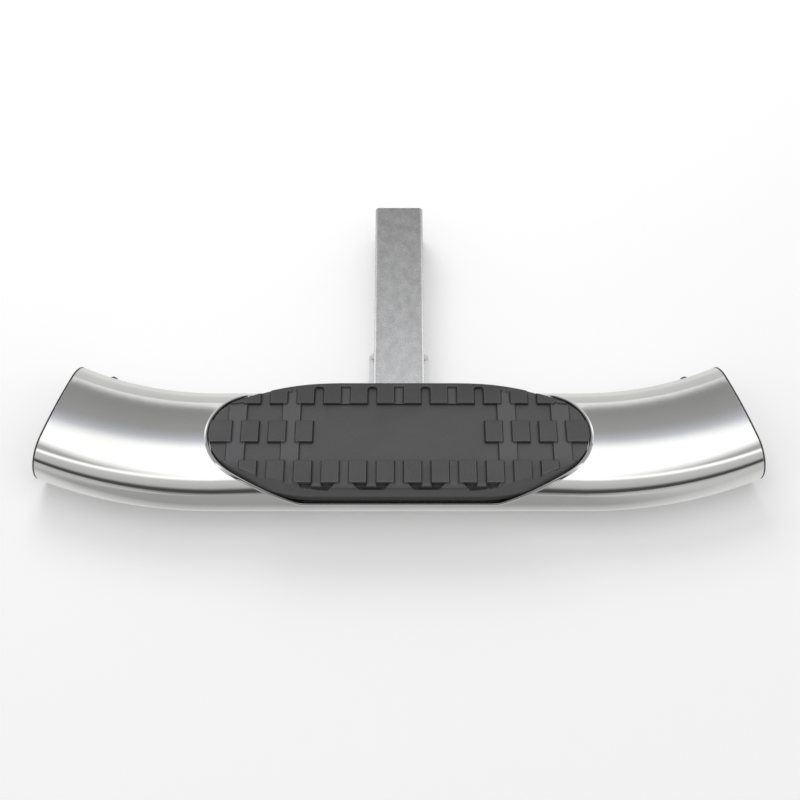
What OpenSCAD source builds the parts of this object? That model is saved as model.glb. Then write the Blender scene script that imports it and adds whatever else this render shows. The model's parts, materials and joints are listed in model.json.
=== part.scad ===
// Hitch receiver step: a bent oval tube with a moulded tread pad, carried by a square receiver tube.
// Origin: centre of the hitch pin hole, on the axis of the receiver tube.
// +Y runs towards the vehicle, -Y towards the person who steps on it, +Z is up.

/* [Oval tube] */
// Width of the oval tube's section, front to back
tube_w = 127; // [110:1:150]
// Height of the oval tube's section
tube_h = 62; // [61:1:72]
// Radius of the section's front and back edges
edge_r = 29; // [25:0.5:30]
// Wall of the oval tube
tube_wall = 2; // [1.5:0.1:3]
// Length of the straight middle of the oval tube
straight_len = 356; // [320:2:500]
// Radius of each bend, to the centreline
bend_r = 372; // [300:2:500]
// Angle that each bend turns through
bend_angle = 24.7; // [18:0.1:32]
// Angle of each end's cut face, turned back from the long axis
end_angle = 17; // [12:0.5:20]

/* [Recess] */
// Depth of the formed recess below the tube's crown
recess_depth = 5; // [3:0.5:7]
// Height of the front ledge of the recess above the middle of the section
ledge_z = 5; // [3:0.5:10]
// Gap between the recess wall and the pad
pad_gap = 1; // [0.5:0.1:1.5]
// Radius of the rolled lip round the recess
lip_r = 2.4; // [1.5:0.1:4]

/* [Tread pad] */
// Length of the pad
pad_len = 365; // [350:1:380]
// Width of the pad's outline where it meets the recess
pad_w = 125.6; // [120:0.2:130]
// Height of the tread's top above the tube's crown
pad_rise = 5; // [3.5:0.5:8]
// Length of the pad's parallel middle
pad_mid = 156; // [130:2:180]
// Radius of the pad's end tips
pad_tip_r = 48; // [40:1:52]
// Width of the tread's top edge, which stands in from the outline
top_w = 118; // [110:0.5:120]
// Length of the top edge's parallel middle
top_mid = 108; // [90:2:150]
// Radius of the top edge's end tips
top_tip_r = 41; // [34:1:46]
// How far the top edge stands towards the front
top_shift = 2; // [0:0.5:4]
// Height at which the pad's sides start to lean in
lean_z = 20; // [16:0.5:24]
// Radius of the upper part of the pad's front nose
nose_r = 8; // [5:0.5:10]
// Radius of the lower part of the pad's front nose
nose_low_r = 6; // [4:0.5:7]
// Distance between neighbouring strips of the tread
tread_pitch = 26; // [22:0.5:30]
// Width of the strips between the blocks
strip_w = 9.2; // [6:0.2:12]
// Width of the node where a raised strip crosses a channel
node_w = 17.4; // [14:0.2:20]
// Half the length of the middle row of blocks
row_mid = 12.6; // [9:0.2:16]
// Distance from the centreline to the outer rows of blocks
row_out = 33; // [28:0.5:38]
// Step from the blocks down to the strips
step_down = 1.5; // [0.8:0.1:2]
// Depth of the channels below the blocks
channel_depth = 3; // [2.2:0.1:4]
// Half the length of the plain field in the middle of the pad
field_half = 82.4; // [70:0.2:90]

/* [Receiver tube] */
// Width of the square receiver tube
recv_w = 50.8; // [50:0.1:52]
// Wall of the receiver tube
recv_wall = 4.76; // [3:0.01:6.5]
// Outer corner radius of the receiver tube
recv_r = 4; // [2:0.5:6]
// Distance from the pin hole to the oval tube's centreline
reach = 236; // [210:1:300]
// Distance from the pin hole to the open end of the receiver tube
pin_to_end = 70; // [50:1:90]
// Diameter of the hitch pin hole
pin_hole_d = 16.4; // [13:0.1:18]

/* [Side plates] */
// Thickness of each side plate
plate_t = 4.76; // [3:0.01:6.5]
// Height of each side plate
plate_h = 32; // [24:1:42]
// How far each side plate runs behind the oval tube
plate_run = 51; // [30:1:70]
// Radius of the plate's back corners
plate_r = 10; // [4:1:12]
// Leg of the weld beads
weld_leg = 4; // [2.5:0.5:5]

/* [End caps] */
// Thickness of the cap's flange
cap_flange = 1.6; // [1.2:0.1:3]
// Depth of the cap's plug inside the tube
cap_depth = 42; // [38:1:60]
// Wall of the cap's plug
cap_wall = 3; // [2:0.5:4]
// Distance of the cap's screw from the end of the tube, along its centreline
screw_in = 27; // [22:1:32]
// Diameter of the cap's screw
screw_d = 4; // [3:0.1:5]
// Diameter of the screw's pan head
screw_head_d = 9; // [7:0.5:10]
// Angle of the cap's screw above the level
screw_tilt = 14; // [0:1:30]

/* [Pad clips] */
// Diameter of the clip's shaft
clip_d = 6.6; // [5:0.2:8]
// Distance of the inner clips from the middle, along the pad
clip_in_x = 52; // [30:1:80]
// Distance of the outer clips from the pad's tips
clip_end = 43.5; // [36:0.5:60]
// Distance of the clips from the centreline
clip_y = 27; // [20:1:32]

/* [Hidden] */
$fn = 64;
crown_fn = 720;
shoulder_fn = 240;
tip_fn = 96;

steel_colour = [0.80, 0.80, 0.79];
receiver_colour = [0.66, 0.66, 0.67];
rubber_colour = [0.26, 0.26, 0.27];
plastic_colour = [0.12, 0.12, 0.12];
weld_colour = [0.58, 0.57, 0.56];

// Clearance between curved surfaces that seat on each other
seat_gap = 0.3;
// Clearance between the cap's plug and the tube
plug_gap = 0.4;
// Radial clearance of a screw in its hole
screw_gap = 0.05;
// Radial clearance of a clip's shaft in its hole
clip_gap = 0.3;
// Gap between the receiver tube's weld and the pad's back ledge
weld_gap = 0.6;
// Share of the rolled lip's width that moves to the back, because the tube's front is steep
lip_shift = 0.7;
// Fall of the tread's crown from its middle to its front nose
nose_fall = 2;
// How far the receiver tube and its plates run in under the oval tube's back edge
seat_run = 21.5;
// Overlap that makes a cut run past a face
over = 1;
// More than the largest half size of the part, for cutting blocks
far = 600;
// Angle that a bend is swept past its end, for the cut face to trim
bend_over = 7;

half_w = tube_w / 2;
half_h = tube_h / 2;
half_straight = straight_len / 2;
// The section is two edge circles under a shallow crown that is tangent to them
edge_x = half_w - edge_r;
crown_drop = (edge_x * edge_x - pow(half_h - edge_r, 2)) / (2 * (half_h - edge_r));
crown_r = crown_drop + half_h;
crown_turn = atan2(edge_x, crown_drop);

// Height of the oval tube's middle above the receiver tube's axis: both undersides are level
tube_rise = half_h - recv_w / 2;

// Height of the back ledge, above the receiver tube and its weld
back_ledge_z = recv_w - half_h + weld_leg + weld_gap;

// Section of the pad: a round front nose under a shallow crown that is tangent to it
pad_top = half_h + pad_rise;
nose_y = pad_w / 2 - nose_r;
nose_z = pad_top - nose_r - nose_fall;
nose_low_y = pad_w / 2 - nose_low_r;
nose_low_z = ledge_z + nose_low_r;
pad_crown_r = (nose_y * nose_y + pow(pad_top - nose_z, 2) - nose_r * nose_r)
    / (2 * (pad_top - nose_z - nose_r));
pad_crown_turn = asin(nose_y / (pad_crown_r - nose_r));
// How far the front of the tread stands back from the pad's outline
tread_back = 5.6;
// Length of the front pockets, and how much each of their ends draws in
pocket_run = 4.5;
pocket_draw = 5;
// Width of the pocket walls between the channels
pocket_wall = 0.4;
// Rim left between the channels' closed back ends and the tread's top edge
channel_stop = 3.2;
// Distance from the centreline to the closed back ends of the channels
channel_back = top_w / 2 - top_shift - channel_stop;
channel_end_r = 2;
tread_count = ceil(pad_len / 2 / tread_pitch);
// Number of the outermost channel: odd numbers are channels, and the pad's tips have none
channel_count = 2 * floor((pad_len / 2 / tread_pitch - 2) / 2) + 1;

// Distance of the outer clips from the middle, along the pad
clip_out_x = pad_len / 2 - clip_end;

plate_back = half_w + plate_run;
recv_front = half_w - seat_run;

// Clip: a head held in the pad, a neck, a shaft and three soft fins below the recess floor
clip_head_r = clip_d * 1.05;
clip_head_h = 2;
clip_neck_r = clip_d * 0.6;
clip_seat = 1.8;
clip_fin_r = clip_d * 0.72;
clip_fin_h = 2;
clip_fins = 3;

// Two-dimensional shapes

// Section of the oval tube, drawn inside its surface by inset
module tube_section(inset) {
    for (side = [-1, 1])
        translate([side * edge_x, 0]) circle(r = edge_r - inset, $fn = 128);
    intersection() {
        translate([0, -crown_drop]) circle(r = crown_r - inset, $fn = crown_fn);
        translate([0, crown_drop]) circle(r = crown_r - inset, $fn = crown_fn);
        square([2 * (crown_r - inset) * sin(crown_turn), tube_h], center = true);
    }
}

// Long oval of the pad's length: a parallel middle, and on each side a tip between two shoulder arcs
module long_oval(mid, width, tip_r, grow) {
    tip_x = (pad_len - mid) / 2 - tip_r;
    shoulder_r = (tip_x * tip_x + width * width / 4 - tip_r * tip_r) / (width - 2 * tip_r);
    shoulder_y = shoulder_r - width / 2;
    square([mid, width + 2 * grow], center = true);
    for (side = [0, 1])
        mirror([side, 0]) translate([mid / 2, 0]) {
            intersection() {
                translate([0, -shoulder_y]) circle(r = shoulder_r + grow, $fn = shoulder_fn);
                translate([0, shoulder_y]) circle(r = shoulder_r + grow, $fn = shoulder_fn);
                translate([-over, -width])
                    square([over + (shoulder_r + grow) * tip_x / (shoulder_r - tip_r), 2 * width]);
            }
            translate([tip_x, 0]) circle(r = tip_r + grow, $fn = tip_fn);
        }
}

// Outline of the pad from above, grown by grow all round
module pad_outline(grow) {
    long_oval(pad_mid, pad_w, pad_tip_r, grow);
}

// Section of the pad with its crown and upper nose lowered by drop
module pad_section(drop) {
    upper_z = nose_z - drop;
    crown_y = pad_crown_r * sin(pad_crown_turn);
    translate([-nose_y, upper_z]) circle(r = nose_r, $fn = 48);
    translate([-nose_low_y, nose_low_z]) circle(r = nose_low_r, $fn = 48);
    translate([-pad_w / 2, nose_low_z]) square([pad_w, upper_z - nose_low_z]);
    translate([-nose_low_y, ledge_z]) square([2 * nose_low_y, upper_z - ledge_z]);
    intersection() {
        translate([0, pad_top - drop - pad_crown_r]) circle(r = pad_crown_r, $fn = crown_fn);
        translate([-crown_y, ledge_z]) square([crown_y + pad_w / 2, pad_top]);
    }
}

// Square with round corners
module round_square(w, r) {
    square([w, w - 2 * r], center = true);
    square([w - 2 * r, w], center = true);
    for (x = [-1, 1])
        for (y = [-1, 1])
            translate([x * (w / 2 - r), y * (w / 2 - r)]) circle(r = r, $fn = 32);
}

// Plan of the tread's raised blocks
module block_plan() {
    intersection() {
        translate([0, tread_back]) pad_outline(0);
        difference() {
            union() {
                translate([-pad_len, row_out]) square([2 * pad_len, pad_w]);
                translate([-pad_len, -row_out - pad_w]) square([2 * pad_len, pad_w]);
                for (side = [-1, 1])
                    translate([side * (field_half + pad_len / 2), 0])
                        square([pad_len, 2 * row_mid], center = true);
            }
            for (i = [-tread_count:tread_count])
                if (i % 2 == 0)
                    intersection() {
                        translate([i * tread_pitch, 0]) square([strip_w, 2 * pad_w], center = true);
                        strip_area();
                    }
        }
    }
}

// Where the strips may run: they stay open at the front, and stop short of the tread's back edge
module strip_area() {
    translate([-pad_len, -pad_w]) square([2 * pad_len, pad_w]);
    translate([0, -top_shift]) long_oval(top_mid, top_w, top_tip_r, -channel_stop);
}

// Plan of the tread's deep channels, its plain field and its front pockets
module channel_plan() {
    for (side = [-1, 1])
        difference() {
            translate([-pad_len, side * (row_mid + row_out) / 2 - (row_out - row_mid) / 2])
                square([2 * pad_len, row_out - row_mid]);
            for (i = [4:2:tread_count])
                for (end = [-1, 1])
                    translate([end * i * tread_pitch, side * row_out])
                        square([node_w, pad_w], center = true);
        }
    square([2 * field_half, 2 * row_mid + 2 * over], center = true);
    for (i = [-channel_count:2:channel_count])
        translate([i * tread_pitch, 0]) {
            channel_strip();
            if (abs(i) < 4) front_pocket();
        }
}

// One straight channel, closed by a round end at the back
module channel_strip() {
    reach_back = channel_back - channel_end_r;
    translate([-strip_w / 2, -pad_w / 2 + tread_back]) square([strip_w, pad_w / 2 - tread_back + reach_back]);
    translate([-strip_w / 2 + channel_end_r, 0]) square([strip_w - 2 * channel_end_r, channel_back]);
    for (side = [-1, 1])
        translate([side * (strip_w / 2 - channel_end_r), reach_back]) circle(r = channel_end_r, $fn = 32);
}

// Pocket that opens a channel out at the front of the tread
module front_pocket() {
    half = strip_w / 2 + tread_pitch / 2 - pocket_wall;
    front = -pad_w / 2 + tread_back;
    polygon([[-half, front], [half, front], [half - pocket_draw, front - pocket_run],
        [-half + pocket_draw, front - pocket_run]]);
}

// Solids that several pieces share, in the step's own place

module step_place() {
    translate([0, -reach, tube_rise]) children();
}

// Section drawn across, extruded along the straight middle
module along_x(length) {
    translate([-length / 2, 0, 0]) rotate([90, 0, 90]) linear_extrude(height = length) children();
}

// Oval tube's section swept round the right bend and past its end, inset from its surface
module sweep_bend(inset) {
    translate([half_straight, bend_r, 0]) rotate([0, 0, -90])
        rotate_extrude(angle = bend_angle + bend_over, $fn = 180)
            translate([bend_r, 0]) tube_section(inset);
}

// The whole tube: the straight middle and both bends
module sweep_tube(inset) {
    along_x(straight_len) tube_section(inset);
    for (side = [0, 1])
        mirror([side, 0, 0]) sweep_bend(inset);
}

// Place of the cut end face: local +X points out of the tube
module at_end() {
    translate([half_straight + bend_r * sin(bend_angle), bend_r * (1 - cos(bend_angle)), 0])
        rotate([0, 0, end_angle]) children();
}

// Slab across the tube's end, from one depth to another along its normal
module end_slab(from, to) {
    at_end() translate([from, -tube_w, -tube_h]) cube([to - from, 2 * tube_w, 2 * tube_h]);
}

// Place of the cap's screw: local +Z points out of the tube's back edge
module at_screw() {
    translate([half_straight, bend_r, 0])
        rotate([0, 0, bend_angle - 90 - screw_in / bend_r * 180 / PI])
            translate([bend_r - edge_x, 0, 0]) rotate([0, screw_tilt - 90, 0]) children();
}

// Space over both ledges, inside the pad's outline; drop lowers the ledges
module ledge_prism(grow, drop) {
    intersection() {
        translate([0, 0, ledge_z - drop]) linear_extrude(height = tube_h) pad_outline(grow);
        union() {
            translate([-pad_len, -pad_w, 0]) cube([2 * pad_len, pad_w, tube_h]);
            translate([-pad_len, -pad_w, back_ledge_z - drop]) cube([2 * pad_len, 2 * pad_w, tube_h]);
        }
    }
}

// Formed floor of the recess as a long bar, inset from the tube's surface
module floor_bar(inset) {
    along_x(pad_len + 4 * pad_gap + 4 * tube_wall + 4 * lip_r) tube_section(inset);
}

module at_clips() {
    for (x = [-clip_out_x, -clip_in_x, clip_in_x, clip_out_x])
        for (y = [-clip_y, clip_y])
            translate([x, y, floor_height(y)]) children();
}

// Height of the recess floor at a distance from the centreline
function floor_height(y) = sqrt(pow(crown_r - recess_depth, 2) - y * y) - crown_drop;

// Sub-parts

// Rolled lip: shallow steps along a quarter round, from the tube's surface into the recess
module rolled_lip() {
    steps = 3;
    for (i = [1:steps]) {
        turn = 90 * i / (steps + 1);
        grow = lip_r * (1 - sin(turn));
        difference() {
            translate([0, lip_shift * grow, 0]) ledge_prism(pad_gap + grow, 0);
            floor_bar(lip_r * (1 - cos(turn)));
        }
    }
}

// Sides of the pad: upright over the recess, then leaning in to the tread's top edge
module leaning_prism() {
    hull() {
        linear_extrude(height = lean_z) pad_outline(0);
        translate([0, -top_shift, pad_top])
            linear_extrude(height = over) long_oval(top_mid, top_w, top_tip_r, 0);
    }
}

module recess_cut() {
    difference() {
        ledge_prism(pad_gap, 0);
        floor_bar(recess_depth);
    }
}

// Inside of the oval tube: it steps in under the recess, so the wall stays even
module tube_inside() {
    difference() {
        sweep_tube(tube_wall);
        difference() {
            ledge_prism(pad_gap + tube_wall, tube_wall);
            floor_bar(recess_depth + tube_wall);
        }
    }
}

module step_tube() {
    color(steel_colour) step_place() difference() {
        sweep_tube(0);
        tube_inside();
        recess_cut();
        rolled_lip();
        at_clips() cylinder(r = clip_d / 2 + clip_gap, h = 4 * tube_wall, center = true, $fn = 32);
        for (side = [0, 1])
            mirror([side, 0, 0]) {
                end_slab(0, far);
                at_screw() cylinder(r = screw_d / 2 + clip_gap, h = 2 * edge_r, $fn = 32);
            }
    }
}

module step_pad() {
    color(rubber_colour) step_place() difference() {
        intersection() {
            leaning_prism();
            difference() {
                union() {
                    along_x(pad_len) pad_section(step_down);
                    intersection() {
                        along_x(pad_len) pad_section(0);
                        linear_extrude(height = 2 * tube_h) block_plan();
                    }
                }
                difference() {
                    translate([0, 0, nose_low_z]) linear_extrude(height = tube_h) channel_plan();
                    along_x(pad_len + 2 * over) pad_section(channel_depth);
                }
            }
        }
        floor_bar(recess_depth - seat_gap);
        translate([-pad_len, -pad_w, 0]) cube([2 * pad_len, 2 * pad_w, ledge_z + seat_gap]);
        translate([-pad_len, 0, 0]) cube([2 * pad_len, pad_w, back_ledge_z + seat_gap]);
        at_clips() {
            cylinder(r = clip_neck_r + seat_gap, h = clip_seat + seat_gap, $fn = 32);
            translate([0, 0, clip_seat]) cylinder(r = clip_head_r + seat_gap, h = clip_head_h + 2 * seat_gap, $fn = 32);
        }
    }
}

// Push-in clips that hold the pad, with soft fins under the recess floor
module pad_clips() {
    color(plastic_colour) step_place() at_clips() {
        translate([0, 0, clip_seat + seat_gap]) cylinder(r = clip_head_r, h = clip_head_h, $fn = 32);
        translate([0, 0, seat_gap]) cylinder(r = clip_neck_r, h = clip_seat + seat_gap, $fn = 32);
        translate([0, 0, -tube_wall - clip_fins * clip_fin_h - over])
            cylinder(r = clip_d / 2, h = tube_wall + clip_fins * clip_fin_h + 2 * over, $fn = 32);
        for (i = [1:clip_fins])
            translate([0, 0, -tube_wall - seat_gap - i * clip_fin_h - seat_gap])
                cylinder(r1 = clip_d / 2, r2 = clip_fin_r, h = clip_fin_h, $fn = 32);
    }
}

// Plug and flange that close the tube, with ridges round the plug and a boss for the screw
module end_cap() {
    plug_inset = tube_wall + plug_gap;
    ridge_w = 1.5;
    boss_h = 5;
    intersection() {
        sweep_bend(0);
        end_slab(0, cap_flange);
    }
    difference() {
        union() {
            difference() {
                intersection() {
                    sweep_bend(plug_inset);
                    end_slab(-cap_depth, over / 2);
                }
                intersection() {
                    sweep_bend(plug_inset + cap_wall);
                    end_slab(-cap_depth - over, 0);
                }
            }
            for (i = [1:2])
                difference() {
                    intersection() {
                        sweep_bend(tube_wall + plug_gap / 4);
                        end_slab(-i * cap_depth / 6 - ridge_w, -i * cap_depth / 6);
                    }
                    sweep_bend(plug_inset + cap_wall / 2);
                }
            at_screw() translate([0, 0, edge_r - plug_inset - cap_wall - boss_h])
                cylinder(r = screw_d * 1.3, h = cap_wall + boss_h - over, $fn = 32);
        }
        at_screw() cylinder(r = screw_d / 2 + screw_gap, h = 2 * edge_r, $fn = 32);
    }
}

module end_cap_left() {
    color(plastic_colour) step_place() mirror([1, 0, 0]) end_cap();
}

module end_cap_right() {
    color(plastic_colour) step_place() end_cap();
}

// Pan head screw with a domed top and a cross slot
module cap_screw() {
    head_r = screw_head_d / 2;
    head_h = screw_head_d * 0.3;
    dome_r = (head_r * head_r + head_h * head_h) / (2 * head_h);
    slot_w = screw_d * 0.3;
    screw_len = 14;
    at_screw() {
        translate([0, 0, edge_r - screw_len]) cylinder(r = screw_d / 2, h = screw_len + seat_gap, $fn = 32);
        translate([0, 0, edge_r]) difference() {
            intersection() {
                cylinder(r = head_r, h = head_h);
                translate([0, 0, head_h - dome_r + slot_w / 4]) sphere(r = dome_r, $fn = 64);
            }
            for (turn = [0, 90])
                rotate([0, 0, turn]) translate([0, 0, head_h]) cube([screw_d, slot_w, head_h], center = true);
        }
    }
}

module cap_screw_left() {
    color(steel_colour) step_place() mirror([1, 0, 0]) cap_screw();
}

module cap_screw_right() {
    color(steel_colour) step_place() cap_screw();
}

// Square tube, coped at its front to seat on the back of the oval tube
module receiver_tube() {
    front = recv_front - reach;
    color(receiver_colour) difference() {
        translate([0, front, 0]) rotate([-90, 0, 0])
            linear_extrude(height = pin_to_end - front) difference() {
                round_square(recv_w, recv_r);
                round_square(recv_w - 2 * recv_wall, recv_r / 2);
            }
        step_place() along_x(2 * recv_w) tube_section(-seat_gap);
        rotate([0, 90, 0]) cylinder(d = pin_hole_d, h = 2 * recv_w, center = true);
    }
}

// Side plate: round back corners, and a front edge coped to the oval tube's back
module plate_outline() {
    length = plate_back - recv_front;
    difference() {
        union() {
            translate([recv_front, -plate_h / 2]) square([length - plate_r, plate_h]);
            translate([recv_front, -plate_h / 2 + plate_r]) square([length, plate_h - 2 * plate_r]);
            for (side = [-1, 1])
                translate([plate_back - plate_r, side * (plate_h / 2 - plate_r)]) circle(r = plate_r, $fn = 48);
        }
        translate([0, tube_rise]) tube_section(-seat_gap);
    }
}

module side_plate() {
    translate([recv_w / 2, -reach, 0]) rotate([90, 0, 90]) linear_extrude(height = plate_t) plate_outline();
}

module side_plate_left() {
    color(receiver_colour) mirror([1, 0, 0]) side_plate();
}

module side_plate_right() {
    color(receiver_colour) side_plate();
}

// Bead between the top of the receiver tube and the back of the oval tube
module receiver_weld() {
    top = recv_w / 2 - tube_rise;
    seat_y = edge_x + sqrt(edge_r * edge_r - top * top);
    color(weld_colour) step_place() along_x(recv_w - 2 * recv_r) difference() {
        polygon([[seat_y - weld_leg, top], [seat_y + weld_leg, top], [seat_y - weld_leg, top + weld_leg]]);
        tube_section(-seat_gap / 3);
    }
}

// Bead round the oval tube's back edge, along the outer face of a side plate
module nose_weld() {
    low = -asin((plate_h / 2 + tube_rise) / edge_r);
    high = asin((plate_h / 2 - tube_rise) / edge_r);
    step_place() translate([recv_w / 2 + plate_t, edge_x, 0]) rotate([0, 90, 0])
        rotate([0, 0, 90 - high]) rotate_extrude(angle = high - low, $fn = 96)
            polygon([[edge_r + seat_gap / 3, 0], [edge_r + weld_leg, 0], [edge_r + seat_gap / 3, weld_leg]]);
}

module nose_weld_left() {
    color(weld_colour) mirror([1, 0, 0]) nose_weld();
}

module nose_weld_right() {
    color(weld_colour) nose_weld();
}

// Section of a fillet bead: one leg on the receiver tube, the other on the plate's edge
module bead_section() {
    polygon([[0, 0], [weld_leg, 0], [0, weld_leg]]);
}

// Bead round the back edge and both back corners of a side plate, on the receiver tube
module plate_weld() {
    straight = plate_h - 2 * plate_r;
    translate([recv_w / 2, plate_back - plate_r - reach, 0]) rotate([90, 0, 90]) {
        translate([plate_r, straight / 2, 0]) rotate([90, 0, 0])
            linear_extrude(height = straight) bead_section();
        for (side = [0, 1])
            mirror([0, side, 0]) translate([0, straight / 2, 0])
                rotate_extrude(angle = 90, $fn = 96) translate([plate_r, 0]) bead_section();
    }
}

module plate_weld_left() {
    color(weld_colour) mirror([1, 0, 0]) plate_weld();
}

module plate_weld_right() {
    color(weld_colour) plate_weld();
}

step_tube();
step_pad();
pad_clips();
end_cap_left();
end_cap_right();
cap_screw_left();
cap_screw_right();
receiver_tube();
side_plate_left();
side_plate_right();
receiver_weld();
nose_weld_left();
nose_weld_right();
plate_weld_left();
plate_weld_right();
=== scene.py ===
"""Looks of the hitch receiver step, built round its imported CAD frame."""

import json
import math

import bmesh
import bpy
import numpy as np
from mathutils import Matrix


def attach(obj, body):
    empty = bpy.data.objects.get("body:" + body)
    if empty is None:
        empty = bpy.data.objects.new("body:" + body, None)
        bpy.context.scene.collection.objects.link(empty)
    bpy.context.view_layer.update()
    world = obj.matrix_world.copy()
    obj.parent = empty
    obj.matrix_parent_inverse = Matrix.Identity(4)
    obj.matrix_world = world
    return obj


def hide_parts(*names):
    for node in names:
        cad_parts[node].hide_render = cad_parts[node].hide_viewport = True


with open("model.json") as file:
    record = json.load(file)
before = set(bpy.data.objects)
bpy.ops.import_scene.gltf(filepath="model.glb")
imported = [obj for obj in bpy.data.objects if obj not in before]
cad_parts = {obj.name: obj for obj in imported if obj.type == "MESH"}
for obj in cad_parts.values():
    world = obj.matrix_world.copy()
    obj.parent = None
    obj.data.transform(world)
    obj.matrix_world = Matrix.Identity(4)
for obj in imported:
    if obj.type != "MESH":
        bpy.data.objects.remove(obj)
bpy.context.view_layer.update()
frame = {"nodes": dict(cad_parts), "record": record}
nodes = frame["nodes"]
scene = bpy.context.scene


def new_material(name):
    """A material, its node tree and its shader."""
    mat = bpy.data.materials.new(name)
    mat.use_nodes = True
    return mat, mat.node_tree, mat.node_tree.nodes["Principled BSDF"]


def grey(level):
    return level, level, level


def add(tree, kind, **values):
    """Adds a node and sets its inputs and its own settings by name."""
    node = tree.nodes.new(kind)
    for key, value in values.items():
        if key in node.inputs:
            node.inputs[key].default_value = value
        else:
            setattr(node, key, value)
    return node


def feed(tree, socket, value):
    """Gives an input a socket's value, a colour or a number."""
    if isinstance(value, bpy.types.NodeSocket):
        tree.links.new(value, socket)
    elif isinstance(value, tuple):
        socket.default_value = (*value, 1)
    else:
        socket.default_value = value


def object_coords(tree, scale=(1.0, 1.0, 1.0)):
    """The object's own coordinates, in metres, times a scale on each axis."""
    coords = tree.nodes.new("ShaderNodeTexCoord")
    mapping = tree.nodes.new("ShaderNodeMapping")
    mapping.inputs["Scale"].default_value = scale
    tree.links.new(coords.outputs["Object"], mapping.inputs["Vector"])
    return mapping.outputs["Vector"]


def axes(tree, vector):
    """A vector's three parts, as outputs named X, Y and Z."""
    node = tree.nodes.new("ShaderNodeSeparateXYZ")
    tree.links.new(vector, node.inputs[0])
    return node.outputs


def attribute(tree, name):
    """A value that the mesh holds on its vertices."""
    return add(tree, "ShaderNodeAttribute", attribute_name=name).outputs["Fac"]


def noise(tree, vector, scale, detail, roughness=0.5):
    node = add(tree, "ShaderNodeTexNoise", Scale=scale, Detail=detail, Roughness=roughness)
    tree.links.new(vector, node.inputs["Vector"])
    return node.outputs["Fac"]


def ramp(tree, factor, stops):
    """A colour ramp; stops are (position, grey level or colour)."""
    node = tree.nodes.new("ShaderNodeValToRGB")
    items = node.color_ramp.elements
    while len(items) < len(stops):
        items.new(0.5)
    for item, (position, value) in zip(items, stops):
        item.position = position
        item.color = (*(value if isinstance(value, tuple) else grey(value)), 1)
    tree.links.new(factor, node.inputs["Fac"])
    return node.outputs["Color"]


def mix(tree, factor, first, second):
    """A colour between two, each a colour or a socket."""
    node = add(tree, "ShaderNodeMix", data_type="RGBA")
    colour_inputs, result = (6, 7), 2
    tree.links.new(factor, node.inputs[0])
    for index, value in zip(colour_inputs, (first, second)):
        feed(tree, node.inputs[index], value)
    return node.outputs[result]


def remap(tree, factor, low, high, start=0.0, end=1.0):
    """Goes from low to high while the factor goes from start to end."""
    limits = {"From Min": start, "From Max": end, "To Min": low, "To Max": high}
    node = add(tree, "ShaderNodeMapRange", **limits)
    tree.links.new(factor, node.inputs["Value"])
    return node.outputs["Result"]


def calculate(tree, operation, *values):
    """A math node's result; values are sockets or numbers."""
    node = add(tree, "ShaderNodeMath", operation=operation)
    for socket, value in zip(node.inputs, values):
        feed(tree, socket, value)
    return node.outputs[0]


def shade(tree, bsdf, colour, roughness, metallic=0.0):
    """Gives the shader its colour, its roughness and its share of metal."""
    feed(tree, bsdf.inputs["Base Color"], colour)
    feed(tree, bsdf.inputs["Roughness"], roughness)
    bsdf.inputs["Metallic"].default_value = metallic


def bump(tree, bsdf, height, distance, strength, rounding=0.0):
    """Bump from a height, over an optional rounding of sharp edges, in metres."""
    node = add(tree, "ShaderNodeBump", Strength=strength, Distance=distance)
    tree.links.new(height, node.inputs["Height"])
    if rounding:
        bevel = add(tree, "ShaderNodeBevel", Radius=rounding)
        bevel.samples = 8
        tree.links.new(bevel.outputs["Normal"], node.inputs["Normal"])
    tree.links.new(node.outputs["Normal"], bsdf.inputs["Normal"])


def polished_steel():
    mat, tree, bsdf = new_material("polished_steel")
    grain = noise(tree, object_coords(tree, (3.0, 90.0, 90.0)), scale=30.0, detail=4.0)
    cloud = noise(tree, object_coords(tree), scale=14.0, detail=3.0)
    steel = ramp(tree, cloud, [(0.3, (0.78, 0.775, 0.765)), (0.7, (0.83, 0.828, 0.82))])
    # Painted shade: the rim's side toward the rubber is darker, for the shade in the gap next to the rubber
    steel = mix(tree, attribute(tree, "inner"), steel, grey(0.33))
    shade(tree, bsdf, steel, remap(tree, grain, 0.05, 0.12), metallic=1.0)
    bump(tree, bsdf, grain, distance=0.00002, strength=0.25, rounding=0.0006)
    return mat


def receiver_steel():
    mat, tree, bsdf = new_material("receiver_steel")
    place = axes(tree, object_coords(tree))
    mottle = noise(tree, object_coords(tree, (1.0, 0.7, 1.0)), scale=130.0, detail=6.0, roughness=0.75)
    cloud = noise(tree, object_coords(tree, (1.0, 0.6, 1.0)), scale=45.0, detail=3.0)
    fine = noise(tree, object_coords(tree), scale=900.0, detail=3.0)
    near = ramp(tree, mottle, [(0.25, (0.76, 0.76, 0.765)), (0.75, (1.0, 1.0, 1.0))])
    near = mix(tree, remap(tree, cloud, 0.0, 0.4), near, (0.80, 0.80, 0.815))
    # Painted shade: the steel is darker at the open end than at the end by the step, for the dimmer
    # reflection there; start and end are metres along Y
    outward = remap(tree, place["Y"], 0.0, 0.85, start=-0.15, end=0.07)
    far_shaded_steel = ramp(tree, mottle, [(0.25, (0.34, 0.34, 0.342)), (0.75, (0.54, 0.54, 0.545))])
    steel = mix(tree, outward, near, far_shaded_steel)
    # The side plates start just outside the tube; they are lighter, partly for their bright sheared edges and
    # partly as a painted highlight on their tops, and rougher
    plate_x = 0.0256
    on_plate = calculate(tree, "GREATER_THAN", calculate(tree, "ABSOLUTE", place["X"]), plate_x)
    steel = mix(tree, on_plate, steel, (0.93, 0.93, 0.935))
    rough = calculate(tree, "MULTIPLY_ADD", on_plate, 0.10, remap(tree, mottle, 0.22, 0.32))
    shade(tree, bsdf, steel, rough, metallic=1.0)
    bump(tree, bsdf, fine, distance=0.00003, strength=0.5, rounding=0.0008)
    return mat


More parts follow.
